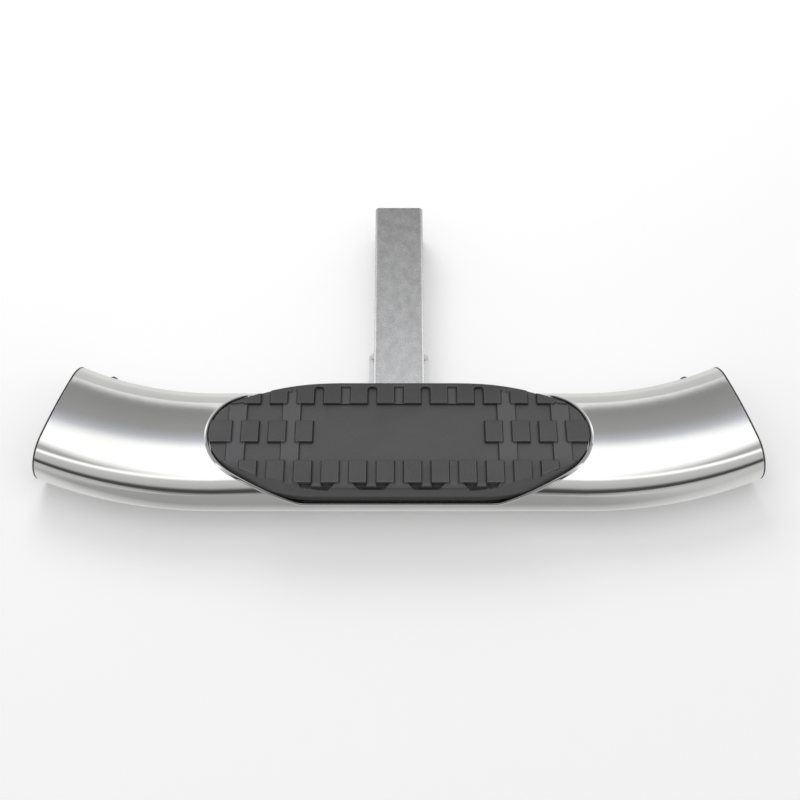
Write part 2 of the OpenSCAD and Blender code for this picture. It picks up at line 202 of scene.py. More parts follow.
def tread_rubber():
    mat, tree, bsdf = new_material("tread_rubber")
    place = axes(tree, object_coords(tree))
    cloud = noise(tree, object_coords(tree), scale=26.0, detail=4.0)
    fine = noise(tree, object_coords(tree), scale=1500.0, detail=2.0)
    streak = noise(tree, object_coords(tree, (3.0, 1.0, 1.0)), scale=260.0, detail=3.0, roughness=0.6)
    rubber = ramp(tree, cloud, [(0.3, (0.056, 0.056, 0.058)), (0.7, (0.074, 0.074, 0.077))])
    rubber = mix(tree, remap(tree, streak, -0.35, 0.7), rubber, (0.090, 0.090, 0.093))
    # Painted shade: the back of the tread is darker than the front; start and end are metres along Y
    behind = remap(tree, place["Y"], 0.0, 0.42, start=-0.235, end=-0.185)
    rubber = mix(tree, behind, rubber, (0.020, 0.020, 0.021))
    # Dusty places and painted highlights are lighter, and painted shade darkens the moulded walls, the
    # pockets and the lines beside the blocks nearly to black
    rubber = mix(tree, attribute(tree, "dust_and_highlight"), rubber, (0.125, 0.125, 0.130))
    rubber = mix(tree, attribute(tree, "wall"), rubber, grey(0.010))
    shade(tree, bsdf, rubber, remap(tree, cloud, 0.5, 0.62))
    bump(tree, bsdf, fine, distance=0.00006, strength=0.5)
    return mat


def plastic(name, level, roughness):
    """A plain dark plastic that varies a little about its grey level and roughness."""
    mat, tree, bsdf = new_material(name)
    cloud = noise(tree, object_coords(tree), scale=80.0, detail=3.0)
    fine = noise(tree, object_coords(tree), scale=1800.0, detail=2.0)
    colour = ramp(tree, cloud, [(0.3, level * 0.85), (0.7, level * 1.15)])
    shade(tree, bsdf, colour, remap(tree, cloud, roughness - 0.05, roughness + 0.05))
    bump(tree, bsdf, fine, distance=0.00004, strength=0.5, rounding=0.0004)
    return mat


def screw_steel():
    mat, tree, bsdf = new_material("screw_steel")
    cloud = noise(tree, object_coords(tree), scale=400.0, detail=3.0)
    colour = ramp(tree, cloud, [(0.3, 0.10), (0.7, 0.20)])
    shade(tree, bsdf, colour, remap(tree, cloud, 0.3, 0.45), metallic=1.0)
    bump(tree, bsdf, cloud, distance=0.00003, strength=0.4, rounding=0.0003)
    return mat


def weld_steel():
    mat, tree, bsdf = new_material("weld_steel")
    wave = add(tree, "ShaderNodeTexWave", Scale=90.0, Distortion=2.0, Detail=2.0,
               bands_direction="DIAGONAL")
    tree.links.new(object_coords(tree), wave.inputs["Vector"])
    ripple = wave.outputs["Fac"]
    colour = ramp(tree, ripple, [(0.2, (0.60, 0.595, 0.59)), (0.8, (0.76, 0.755, 0.75))])
    shade(tree, bsdf, colour, remap(tree, ripple, 0.25, 0.4), metallic=1.0)
    bump(tree, bsdf, ripple, distance=0.0004, strength=0.7, rounding=0.0008)
    return mat


materials = {
    "polished_steel": polished_steel(),
    "receiver_steel": receiver_steel(),
    "tread_rubber": tread_rubber(),
    "cap_plastic": plastic("cap_plastic", 0.03, 0.5),
    "clip_plastic": plastic("clip_plastic", 0.05, 0.45),
    "screw_steel": screw_steel(),
    "weld_steel": weld_steel(),
}
slots = {s["node"]: s["material_slot"] for s in frame["record"]["subparts"]}


def paint(obj, material):
    """The object's material slots all take the material."""
    if not obj.material_slots:
        obj.data.materials.append(material)
    for held in obj.material_slots:
        held.material = material


for name, obj in nodes.items():
    paint(obj, materials[slots[name]])

# Tread pad, rebuilt as one moulded mesh on the CAD pad's own lines. From here to the floor, sizes are
# in millimetres about the oval tube's middle, which stands at STEP_Y, STEP_Z
STEP_Y, STEP_Z = -236.0, 5.6
# Both of the pad's edges are searched from this line, in this many steps
MIDDLE_Y, SEARCH_STEPS = -1.0, 40
# The pad's outline at its foot, and at its top, which stands TOP_SHIFT further forward
PAD_LEN, PAD_W, PAD_MID, PAD_TIP_R = 365.0, 125.6, 156.0, 48.0
TOP_W, TOP_MID, TOP_TIP_R, TOP_SHIFT = 118.0, 108.0, 41.0, 2.0
# Heights: the crown, the foot of the leaning wall, and the nose in front
PAD_TOP, LEAN_Z, NOSE_R, NOSE_FALL, LOW_R = 36.0, 20.0, 8.0, 2.0, 6.0
LEDGE, BACK_LEDGE = 5.3, 24.7
CROWN_Y = PAD_W / 2 - NOSE_R
CROWN_R = (CROWN_Y**2 + (NOSE_R + NOSE_FALL) ** 2 - NOSE_R**2) / (2 * NOSE_FALL)
# The oval tube's top surface, and the pad's underside, whose crown runs FLOOR_CROWN past EDGE_Y
EDGE_R, EDGE_Y, CROWN_DROP, TUBE_CROWN_R = 29.0, 34.5, 296.56, 327.56
FLOOR_R, FLOOR_EDGE, FLOOR_CROWN = 322.9, 24.3, 2.8
# The blocks' columns and rows; in front no block stands beyond LAST_BLOCK
PITCH, STRIP, NODE_W, ROW_MID, ROW_OUT = 26.0, 9.2, 17.4, 12.6, 33.0
FIELD, TREAD_BACK, CHANNEL_STOP, CHANNEL_BACK = 82.4, 5.6, 3.2, 53.8
FRONT, LIP_INSET, LAST_BLOCK = -PAD_W / 2 + TREAD_BACK, 3.0, 6 * PITCH - STRIP / 2 + 1
CROSSINGS, TONGUES, ODD_STRIPS = (4, 6), (-3, -1, 1, 3), range(-5, 6, 2)
# Depths, draft and corners; OVERLAP is how far a shape runs on under its neighbour
STEP_DOWN, CHANNEL, POCKET, POCKET_RUN, POCKET_DRAW, POCKET_GAP = 1.5, 3.0, 4.6, 4.5, 5.0, 0.4
BLOCK_R, CHANNEL_R, STRIP_R, DRAFT, OVERLAP = 1.3, 0.5, 3.4, 0.42, 4.0
TONGUE_RUN, TONGUE_FLARE, STRIP_RUN = 2.9, 0.5, 0.3
# Rows in front of FRONT_ZONE follow the lip; FAR and NO_BLOCK are distances outside every shape
FRONT_ZONE, FAR, NO_BLOCK = -20.0, 1e3, 9.0


def oval_arcs(mid, width, tip_r):
    """The tip's centre, and the shoulder's radius and depth of its centre, of a long oval."""
    tip_x = (PAD_LEN - mid) / 2 - tip_r
    shoulder_r = (tip_x**2 + width**2 / 4 - tip_r**2) / (width - 2 * tip_r)
    return tip_x, shoulder_r, shoulder_r - width / 2


def oval_distance(x, y, mid, width, tip_r):
    """Distance outside a long oval; negative inside."""
    tip_x, shoulder_r, shoulder_y = oval_arcs(mid, width, tip_r)
    along, across = np.abs(x) - mid / 2, np.abs(y)
    shoulder = np.hypot(along, across + shoulder_y) - shoulder_r
    tip = np.hypot(along - tip_x, across) - tip_r
    past = along * shoulder_y > (across + shoulder_y) * tip_x
    return np.where(along <= 0, across - width / 2, np.where(past, tip, shoulder))


def base_distance(x, y):
    """Distance outside the pad's outline at its foot."""
    return oval_distance(x, y, PAD_MID, PAD_W, PAD_TIP_R)


def top_distance(x, y):
    """Distance outside the pad's outline at its top."""
    return oval_distance(x, y + TOP_SHIFT, TOP_MID, TOP_W, TOP_TIP_R)


def box_distance(x, y, left, right, front, back, radius):
    """Distance outside a rectangle with round corners."""
    qx = np.abs(x - (left + right) / 2) - (right - left) / 2 + radius
    qy = np.abs(y - (front + back) / 2) - (back - front) / 2 + radius
    outside = np.hypot(np.maximum(qx, 0), np.maximum(qy, 0))
    return outside + np.minimum(np.maximum(qx, qy), 0) - radius


def crown_height(y):
    """Height of the tread over the crown and round its front nose."""
    crown = PAD_TOP - CROWN_R + np.sqrt(CROWN_R**2 - y * y)
    nose = PAD_TOP - NOSE_R - NOSE_FALL + np.sqrt(np.maximum(NOSE_R**2 - (y + CROWN_Y) ** 2, 0))
    return np.where(y < -CROWN_Y, nose, crown)


def lean_height(x, y):
    """Height of the leaning side wall over a point."""
    top = top_distance(x, y)
    share = top / np.maximum(top - base_distance(x, y), 1e-6)
    return PAD_TOP - (PAD_TOP - LEAN_Z) * share


def edge_search(x, side, inside):
    """The y at each x, from the middle out to one side, where inside turns false."""
    low = np.full_like(x, MIDDLE_Y)
    high = np.full_like(x, side * PAD_W / 2)
    for _ in range(SEARCH_STEPS):
        middle = (low + high) / 2
        good = inside(x, middle)
        low, high = np.where(good, middle, low), np.where(good, high, middle)
    return low


def smooth(d, width):
    """A soft step from 0 to 1 while d goes from -width to width."""
    t = np.clip((d + width) / (2 * width), 0, 1)
    return t * t * (3 - 2 * t)


def line(d, place, width):
    """A soft line: 1 where d is at its place, and less to both sides."""
    return np.exp(-((d - place) / width) ** 2)


def both(first, second, radius):
    """Distance to where two shapes overlap, with round corners."""
    corner = np.hypot(np.maximum(first + radius, 0), np.maximum(second + radius, 0))
    return np.minimum(np.maximum(first, second), -radius) + corner


def tongue_distance(x, y):
    """Distance outside the odd strips' front ends, which flare out over the pockets."""
    tongues = np.full(np.shape(x), FAR)
    half = STRIP / 2 + np.maximum(FRONT - y, 0) * TONGUE_FLARE
    run = np.maximum(FRONT - TONGUE_RUN - y, y - FRONT - OVERLAP)
    for i in TONGUES:
        tongues = np.minimum(tongues, np.maximum(np.abs(x - i * PITCH) - half, run))
    return tongues


def pocket_distance(x, y):
    """Distance outside the four pockets in front, around the tongues."""
    pockets = np.full(np.shape(x), FAR)
    half = STRIP / 2 + PITCH / 2 - POCKET_GAP + np.minimum(y - FRONT, 0) * POCKET_DRAW / POCKET_RUN
    run = np.abs(y - FRONT + POCKET_RUN / 2) - POCKET_RUN / 2
    for i in TONGUES:
        pockets = np.minimum(pockets, np.maximum(np.abs(x - i * PITCH) - half, run))
    return np.maximum(pockets, -tongue_distance(x, y))


def channel_distance(x, y):
    """Distance outside the deep channels: two lanes, the plain field and the odd strips."""
    lanes = np.abs(np.abs(y) - (ROW_OUT + ROW_MID) / 2) - (ROW_OUT - ROW_MID) / 2
    for i in CROSSINGS:
        crossing = box_distance(np.abs(x), np.abs(y), i * PITCH - NODE_W / 2, i * PITCH + NODE_W / 2,
                                ROW_MID - OVERLAP, ROW_OUT + OVERLAP, CHANNEL_R)
        lanes = np.maximum(lanes, -crossing)
    field = box_distance(x, y, -FIELD, FIELD, -ROW_MID - OVERLAP, ROW_MID + OVERLAP, CHANNEL_R)
    channels = np.minimum(lanes, field)
    for i in ODD_STRIPS:
        strip = box_distance(x, y, i * PITCH - STRIP / 2, i * PITCH + STRIP / 2,
                             FRONT - OVERLAP, CHANNEL_BACK, STRIP_R)
        channels = np.minimum(channels, np.maximum(strip, FRONT - STRIP_RUN - y))
    return np.minimum(channels, tongue_distance(x, y))


def lip_distance(x, y):
    """Distance in front of the line where the tread ends and the smooth lip starts."""
    return np.maximum(FRONT - y, base_distance(x, y) + LIP_INSET)


def above_lip(x, y):
    """Whether a point is in front, and between the outermost odd strips."""
    return (y < FRONT_ZONE) & (np.abs(x) < 5 * PITCH)


def block_distance(x, y, channels):
    """Distance outside the raised blocks."""
    rows = np.minimum(ROW_OUT - np.abs(y), np.maximum(np.abs(y) - ROW_MID, FIELD - np.abs(x)))
    strips = np.abs((x + PITCH) % (2 * PITCH) - PITCH) - STRIP / 2
    open_area = top_distance(x, y) + CHANNEL_STOP
    strips = np.maximum(strips, np.minimum(open_area, y))
    blocks = both(both(rows, -strips, BLOCK_R), -channels, BLOCK_R)
    blocks = np.where(y < FRONT_ZONE, np.maximum(blocks, lip_distance(x, y)), blocks)
    return np.where((y < FRONT_ZONE) & (np.abs(x) > LAST_BLOCK), NO_BLOCK, blocks)


# Painted shadow lines and painted highlight lines beside an edge: how far outside it, and how wide
WALL_SHADE_LINE, FOOT_LINE, CHANNEL_LINE = (0.25, 0.42), (0.95, 0.3), (-0.2, 0.4)
BACK_LINE, STRIP_LINE, LIP_LINE, EDGE_HIGHLIGHT_LINE = (-0.25, 0.42), (0.25, 0.35), (0.2, 0.45), (-0.65, 0.3)
# How strong each of them is, from 0 to 1; walls that face the front lose FRONT_CUT
FRONT_CUT, FOOT, SUNK, BACK, STRIP_BACK, LIP = 0.85, 0.8, 0.9, 0.95, 0.6, 0.55
HIGHLIGHT_AROUND, LIP_HIGHLIGHT, FLARE_LIGHTER, TONGUE_LIGHTER = 0.25, 0.55, 0.45, 0.45
# Dust: how much, less in the channels, more beyond the field, and where it fades out
DUST, DUST_LESS, DUST_MORE, DUST_FRONT, DUST_FADE, DUST_SIDE_FADE = 0.30, 0.17, 0.6, 34.0, 8.0, 6.0
# Where the painted highlight on the lip and the lighter band before it start, and how softly they start and
# end
LIP_START, LIP_SOFT, FLARE_START, FLARE_SOFT, FLARE_END_SOFT = 1.0, 0.4, -0.5, 0.8, 0.6
# The shading compares each point with one this far away
LOOK = 0.6


def painted_shade_marks(x, y, channels, blocks, off_block, in_pocket, lip):
    """How much painted shade each point gets beside the moulded walls, in the pockets and along the lip, and
    how much its wall faces the front.
    """
    away = x + LOOK * np.sign(x)
    channels_away = channel_distance(away, y)
    facing = block_distance(away, y, channels_away)
    channels_ahead = channel_distance(x, y - LOOK)
    slope = (block_distance(x, y - LOOK, channels_ahead) - blocks) / LOOK
    to_front, to_back = np.clip(slope, 0, 1), np.clip(-slope, 0, 1)
    strip_back = np.clip((channels_ahead - channels) / LOOK, 0, 1)
    # The painted shade beside the walls is darkest on the side that faces the pad's middle, and lightest at
    # the front
    wall = line(blocks, *WALL_SHADE_LINE)
    wall = np.maximum(wall, np.where(blocks > 0, line(facing, *WALL_SHADE_LINE), 0))
    wall *= 1 - FRONT_CUT * to_front
    wall = np.maximum(wall, FOOT * to_front * line(blocks, *FOOT_LINE))
    # Painted shade along the edges of the deep channels
    sunk = SUNK * line(channels, *CHANNEL_LINE)
    sunk = np.maximum(sunk, np.where(channels < 0, SUNK * line(channels_away, *CHANNEL_LINE), 0))
    wall = np.maximum(wall, sunk * off_block)
    # Each block and strip also gets a thin painted shadow line along its back edge
    wall = np.maximum(wall, BACK * to_back * line(blocks, *BACK_LINE))
    wall = np.maximum(wall, STRIP_BACK * strip_back * line(channels, *STRIP_LINE) * off_block)
    # The pockets get painted shade, and a thin painted shadow line divides them from the smooth lip below
    lip_line = np.where(above_lip(x, y), line(lip - POCKET_RUN, *LIP_LINE), 0)
    return np.maximum(wall, np.maximum(in_pocket, LIP * lip_line)), to_front


def dust_and_highlight_marks(x, y, blocks, off_block, in_channel, in_pocket, lip, wall, to_front):
    """How light each point is from dust and from painted highlights."""
    # Painted highlight along the blocks' edges, strongest on the edges that face the front
    dust_and_highlight = line(blocks, *EDGE_HIGHLIGHT_LINE) * (HIGHLIGHT_AROUND + (1 - HIGHLIGHT_AROUND) * to_front) * (1 - wall)
    # Painted highlight on the smooth lip in front
    on_lip = smooth(lip - POCKET_RUN - LIP_START, LIP_SOFT)
    dust_and_highlight = np.maximum(dust_and_highlight, np.where(y < FRONT_ZONE, LIP_HIGHLIGHT * on_lip, 0))
    # Below the blocks the rubber is dustier: most on the strips, less on the channels' floors
    beyond_field = smooth(np.abs(x) - FIELD - OVERLAP, DUST_SIDE_FADE)
    dust = off_block * (DUST - DUST_LESS * in_channel) * smooth(y + DUST_FRONT, DUST_FADE)
    dust = dust * (1 + DUST_MORE * beyond_field)
    on_tongue = (tongue_distance(x, y) < 0) & (y < FRONT)
    dust = np.maximum(dust, np.where(on_tongue, TONGUE_LIGHTER, 0))
    dust_and_highlight = np.maximum(dust_and_highlight, dust * (1 - wall))
    # Beside the pockets, between the blocks and the lip, the rubber is lighter too
    before_lip = smooth(lip - FLARE_START, FLARE_SOFT) * (1 - smooth(lip - POCKET_RUN, FLARE_END_SOFT))
    flare = before_lip * (1 - in_pocket) * off_block
    return np.maximum(dust_and_highlight, np.where(above_lip(x, y), FLARE_LIGHTER * flare * (1 - wall), 0))


def tread_relief(x, y):
    """Depth below the blocks' tops, and each point's painted shade, and its dust and painted highlights."""
    channels = channel_distance(x, y)
    blocks = block_distance(x, y, channels)
    off_block, in_channel = smooth(blocks, DRAFT), 1 - smooth(channels, DRAFT)
    in_pocket = 1 - smooth(pocket_distance(x, y), DRAFT)
    depth = np.maximum(STEP_DOWN * off_block, np.maximum(CHANNEL * in_channel, POCKET * in_pocket))
    lip = lip_distance(x, y)
    wall, to_front = painted_shade_marks(x, y, channels, blocks, off_block, in_pocket, lip)
    dust_and_highlight = dust_and_highlight_marks(x, y, blocks, off_block, in_channel, in_pocket, lip, wall, to_front)
    return depth, wall, dust_and_highlight


# Grid lines beside an edge, and the further ones in front of the line where the blocks stop
BESIDE_EDGE = (-1.3, -0.9, -0.6, -0.36, -0.12, 0.12, 0.36, 0.6, 0.9, 1.3)
BEFORE_LIP = (-5.8, -5.4, -5.1, -4.86, -4.62, -4.38, -4.14, -3.9, -3.6, -3.1, -2.5, -1.9)
# The rows of the pad's underside
BOTTOM_ROWS = (-63, -59, -58, -56, -53, -48, -42, -36, -24, -12, 0, 12, 24, 36, 42, 46, 50, 54, 63.0)
# Rings of the side wall: height and how far in; the first is just below the crease, wherever that is
BELOW_CREASE = None
SIDE_RINGS = (
    (BELOW_CREASE, 0.0), (LEAN_Z, 0.0), (17.5, 0.0), (16.0, 0.0), (14.0, 0.0), (LEDGE + LOW_R, 0.0),
    (LEDGE + LOW_R * 0.6, LOW_R * 0.1), (LEDGE + LOW_R * 0.27, LOW_R * 0.32), (LEDGE + 0.4, LOW_R * 0.66),
)
COLUMN_GAP, ROW_GAP, LEAST_GAP, LEAST_ROW = 2.0, 1.3, 0.05, 0.003
# Even rows between the lip and the first straight row
FRONT_ROWS = 17
# The tips' columns get finer towards the point, over this length, by this much each
TIP_RUN, TIP_COLUMNS, TIP_GROWTH = 11.5, 23, 0.02
# The back ledge gives way to the tips' own foot from this far in, over this length
LEDGE_END, LEDGE_FADE = 12, 10
# How far the first ring drops, how far it stays above LEAN_Z, and the largest share of inset
CREASE_DROP, LEAST_RISE, MOST_INSET = 0.8, 0.5, 0.8
# The underside starts this far in, and at the tips keeps this share of its width
BOTTOM_INSET, BOTTOM_KEPT = LOW_R * 0.95, 0.15
# Vertices this close merge, and edges this short go, in metres
MERGE_DIST, SHORT_EDGE = 2e-6, 1e-6
# Side wall: painted shade below SHADE_Z, and a painted highlight on its upper band in front
SHADE_Z, SHADE_RUN, SHADE, SIDE_HIGHLIGHT_Z, SIDE_HIGHLIGHT = 17.5, 3.5, 0.66, 17, 0.55


def feature_lines(edges, low, high, spacing):
    """Grid lines that close up on both sides of each edge, with even ones between."""
    lines = {low, high}
    for edge in edges:
        lines |= {edge + d for d in BESIDE_EDGE}
    lines = sorted(v for v in lines if low <= v <= high)
    kept = [lines[0]]
    for v in lines[1:]:
        if v - kept[-1] < LEAST_GAP:
            continue
        parts = max(1, math.ceil((v - kept[-1]) / spacing))
        start = kept[-1]
        kept += [start + (v - start) * k / parts for k in range(1, parts + 1)]
    return kept


def pad_columns(half):
    """The x of every column of the pad's grid."""
    edges = [i * PITCH + s * STRIP / 2 for i in range(-6, 7) for s in (-1, 1)]
    edges += [s * (i * PITCH + t * NODE_W / 2) for i in CROSSINGS for s in (-1, 1) for t in (-1, 1)]
    tips = [0.0] + [TIP_GROWTH * k * k + TIP_GROWTH * k for k in range(1, TIP_COLUMNS + 1)]
    between = feature_lines(edges, -half + TIP_RUN, half - TIP_RUN, COLUMN_GAP)[1:-1]
    return np.array([-half + t for t in tips] + between + [half - t for t in reversed(tips)])


def pad_rows(x_lines):
    """The y of every row at each column: the front ones follow the lip, the others run straight."""
    cut = edge_search(x_lines, -1, lambda x, y: lip_distance(x, y) < 0)
    near = BEFORE_LIP + BESIDE_EDGE
    edges = [-ROW_OUT, -ROW_MID, ROW_MID, ROW_OUT, CHANNEL_BACK]
    fixed = feature_lines(edges, -ROW_OUT - BESIDE_EDGE[-1], PAD_W / 2, ROW_GAP)
    start = cut + near[-1]
    rows = [cut + d for d in near]
    rows += [start + (fixed[0] - start) * k / FRONT_ROWS for k in range(1, FRONT_ROWS)]
    # Where the lip is far back, the rows stay in front of the first straight one, in their order
    rows = [np.minimum(row, fixed[0] - LEAST_ROW * (len(rows) - k)) for k, row in enumerate(rows)]
    first, fixed = [np.full_like(cut, -PAD_W / 2)], [np.full_like(cut, v) for v in fixed]
    return np.stack(first + rows + fixed, -1)


def top_height(x, y):
    """Height of the tread, and its painted shade, and its dust and painted highlights."""
    depth, wall, dust_and_highlight = tread_relief(x, y)
    return crown_height(y) - depth, wall, dust_and_highlight


def bottom_height(x, y):
    """Height of the underside: the recess floor's curve down to the ledges, without marks."""
    crown = np.sqrt(FLOOR_R**2 - y * y) - CROWN_DROP
    edge = np.sqrt(np.maximum(FLOOR_EDGE**2 - np.maximum(np.abs(y) - EDGE_Y, 0) ** 2, 0))
    floor_z = np.where(np.abs(y) < EDGE_Y + FLOOR_CROWN, crown, edge)
    ledge = np.where(y > 0, BACK_LEDGE, LEDGE)
    return np.maximum(floor_z, ledge), np.zeros(x.shape), np.zeros(x.shape)


def join_rings(rings, faces):
    """Faces between each ring of vertices and the next."""
    for upper, lower in zip(rings, rings[1:]):
        count = len(upper)
        for k in range(count):
            n = (k + 1) % count
            faces.append([upper[n], upper[k], lower[k], lower[n]])


def new_piece(name, verts, faces, marks, sharp_angle, merge):
    """An object from millimetres about the oval tube's middle, with values on its vertices."""
    mesh = bpy.data.meshes.new(name)
    mesh.from_pydata([(x / 1000, (y + STEP_Y) / 1000, (z + STEP_Z) / 1000) for x, y, z in verts], [], faces)
    for mark, values in marks.items():
        mesh.attributes.new(mark, "FLOAT", "POINT").data.foreach_set("value", values)
    work = bmesh.new()
    work.from_mesh(mesh)
    if merge:
        bmesh.ops.remove_doubles(work, verts=work.verts, dist=MERGE_DIST)
        bmesh.ops.dissolve_degenerate(work, edges=work.edges, dist=SHORT_EDGE)
    bmesh.ops.recalc_face_normals(work, faces=work.faces)
    work.to_mesh(mesh)
    work.free()
    mesh.shade_smooth()
    mesh.set_sharp_from_angle(angle=math.radians(sharp_angle))
    piece = bpy.data.objects.new(name, mesh)
    scene.collection.objects.link(piece)
    return piece


def make_pad():
    half = PAD_LEN / 2
    x_lines = pad_columns(half)
    tip = np.abs(x_lines) > half - 1e-9
    crease, base = [
        [np.where(tip, MIDDLE_Y, edge_search(x_lines, side, inside)) for side in (-1, 1)]
        for inside in (lambda x, y: lean_height(x, y) > crown_height(y), lambda x, y: base_distance(x, y) < 0)
    ]
    verts, faces, walls, dust_and_highlights = [], [], [], []

    def grid(lines, low, high, height, flip):
        """A sheet over all columns, whose rows stop at the outline."""
        x, y = np.broadcast_arrays(x_lines[:, None], lines)
        y = np.clip(y, low[:, None], high[:, None])
        z, wall, dust_and_highlight = height(x, y)
        first, rows = len(verts), x.shape[1]
        verts.extend(np.stack([x, y, z], -1).reshape(-1, 3).tolist())
        walls.extend(wall.reshape(-1).tolist())
        dust_and_highlights.extend(dust_and_highlight.reshape(-1).tolist())
        for i in range(len(x_lines) - 1):
            for j in range(rows - 1):
                a, b = first + i * rows + j, first + (i + 1) * rows + j
                quad = [a, b, b + 1, a + 1]
                faces.append(quad[::-1] if flip else quad)
        columns = range(len(x_lines))
        return [first + i * rows for i in columns] + [first + i * rows + rows - 1 for i in reversed(columns)]

    rings = [grid(pad_rows(x_lines), crease[0], crease[1], top_height, False)]
    # The side wall's rings, from the crease down; the back ones stop at the back ledge, but not at the tips
    tip_share = np.clip((np.abs(x_lines) - (half - LEDGE_END)) / LEDGE_FADE, 0, 1)
    for z_ring, inset in SIDE_RINGS:
        ring = []
        for side, order in ((0, range(len(x_lines))), (1, reversed(range(len(x_lines))))):
            for i in order:
                y = base[side][i]
                if z_ring is BELOW_CREASE:
                    z = max(verts[rings[0][len(ring)]][2] - CREASE_DROP, LEAN_Z + LEAST_RISE)
                elif side == 1:
                    z = max(z_ring, BACK_LEDGE) * (1 - tip_share[i]) + z_ring * tip_share[i]
                else:
                    z = z_ring
                share = min(max((PAD_TOP - z) / (PAD_TOP - LEAN_Z), 0), 1)
                reach = crease[side][i] + (y - crease[side][i]) * share if z > LEAN_Z else y
                from_middle = reach - MIDDLE_Y
                reach -= math.copysign(min(inset, MOST_INSET * abs(from_middle)), from_middle)
                ring.append(len(verts))
                verts.append([float(x_lines[i]), float(reach), float(z)])
                # Painted shade low on the side wall, and a painted highlight on its upper band in front
                walls.append(SHADE * float(np.clip((SHADE_Z - z) / SHADE_RUN, 0, 1)))
                dust_and_highlights.append(SIDE_HIGHLIGHT if z > SIDE_HIGHLIGHT_Z and y < 0 else 0.0)
        rings.append(ring)

    narrow = [BOTTOM_KEPT * y + (1 - BOTTOM_KEPT) * MIDDLE_Y for y in base]
    low = np.minimum(base[0] + BOTTOM_INSET, narrow[0])
    high = np.maximum(base[1] - BOTTOM_INSET, narrow[1])
    rings.append(grid(np.array(BOTTOM_ROWS), low, high, bottom_height, True))
    join_rings(rings, faces)
    # The mesh carries the painted shade, and the dust and painted highlights, on its vertices for the
    # material
    return new_piece("tread_pad", verts, faces, {"wall": walls, "dust_and_highlight": dust_and_highlights}, sharp_angle=50, merge=True)


pad = make_pad()
paint(pad, materials["tread_rubber"])
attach(pad, "root")
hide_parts("step_pad")

# Rolled rim of the recess: a low bead along the recess's edge, on the oval tube's surface
RIM_W, RIM_H, RIM_GAP, RIM_STEP, RIM_END_Y = 1.9, 1.5, 1.0, 1.2, 49.0
# The bead's section, across and up, in half widths and heights; the side toward the pad is negative
RIM_SECTION = [
    (1.0, -0.05), (0.8, 0.12), (0.5, 0.37), (0.2, 0.62), (-0.1, 0.85), (-0.3, 0.96), (-0.5, 1.0),
    (-0.7, 0.95), (-0.88, 0.75), (-1.0, 0.3),
]
# It runs this deep into the tube on the side toward the pad and on its outer side, and less deep, and lower,
# by the front ledge
RIM_DEEP, RIM_DEEP_LESS, RIM_DEEP_OUT, RIM_LOWER = 2.6, 1.6, 1.0, 0.2
RIM_LOW_Z, RIM_LOW_RUN = 8.5, 3.5
# Its two feet are tucked under its edges, on the side toward the pad and on the outer one
RIM_TUCK, RIM_TUCK_OUT = 0.15, 0.4
# It thins out over this many steps at both ends, down to this share of its size
RIM_TAPER_STEPS, RIM_TAPER = 8, 0.03
# Its painted shade starts this far across it, and is full after this run toward the pad
INNER_SHADE_FROM, INNER_SHADE_RUN = 0.4, 0.9
# Its height eases over this many steps to both sides, in front of this line
EASE_STEPS, EASE_Y, EASE_RUN = 10, -20, 20


def outline_point(along, grow):
    """Point of the pad's outline at a distance from the front's middle, on the right side."""
    tip_x, shoulder_r, shoulder_y = oval_arcs(PAD_MID, PAD_W, PAD_TIP_R)
    turn = math.atan2(tip_x, shoulder_y)
    straight, arc, tip = PAD_MID / 2, shoulder_r * turn, PAD_TIP_R * (math.pi - 2 * turn)
    if along < straight:
        return along, -PAD_W / 2 - grow
    along -= straight
    if along < arc:
        a = along / shoulder_r
        return straight + (shoulder_r + grow) * math.sin(a), shoulder_y - (shoulder_r + grow) * math.cos(a)
    along -= arc
    if along < tip:
        a = turn + along / PAD_TIP_R
        return straight + tip_x + (PAD_TIP_R + grow) * math.sin(a), -(PAD_TIP_R + grow) * math.cos(a)
    along -= tip
    a = turn - along / shoulder_r
    return straight + (shoulder_r + grow) * math.sin(a), -shoulder_y + (shoulder_r + grow) * math.cos(a)


def on_tube(y):
    """Height and outward normal (y, z) of the oval tube's top surface."""
    if abs(y) < EDGE_Y * TUBE_CROWN_R / (TUBE_CROWN_R - EDGE_R):
        z = math.sqrt(TUBE_CROWN_R**2 - y * y) - CROWN_DROP
        return z, (y / TUBE_CROWN_R, (z + CROWN_DROP) / TUBE_CROWN_R)
    out = math.copysign(abs(y) - EDGE_Y, y)
    z = math.sqrt(EDGE_R**2 - out * out)
    return z, (out / EDGE_R, z / EDGE_R)


def rim_path(lowest_y):
    """The edge that the rim follows, from its left end round the front to its right end."""
    path, along = [], 0.0
    while True:
        x, y = outline_point(along, RIM_GAP)
        if y > RIM_END_Y:
            break
        y = max(y, -lowest_y)
        path.append((x, y, on_tube(y)[0]))
        along += RIM_STEP
    path = np.array([(-x, y, z) for x, y, z in reversed(path[1:])] + path)
    # The edge eases round the corners where it reaches the front ledge
    kernel = np.hanning(2 * EASE_STEPS + 3)[1:-1]
    kernel /= kernel.sum()
    heights = np.pad(path[:, 2], EASE_STEPS, "edge")
    front = np.clip((EASE_Y - path[:, 1]) / EASE_RUN, 0, 1)
    path[:, 2] += (np.convolve(heights, kernel, "valid") - path[:, 2]) * front
    return path


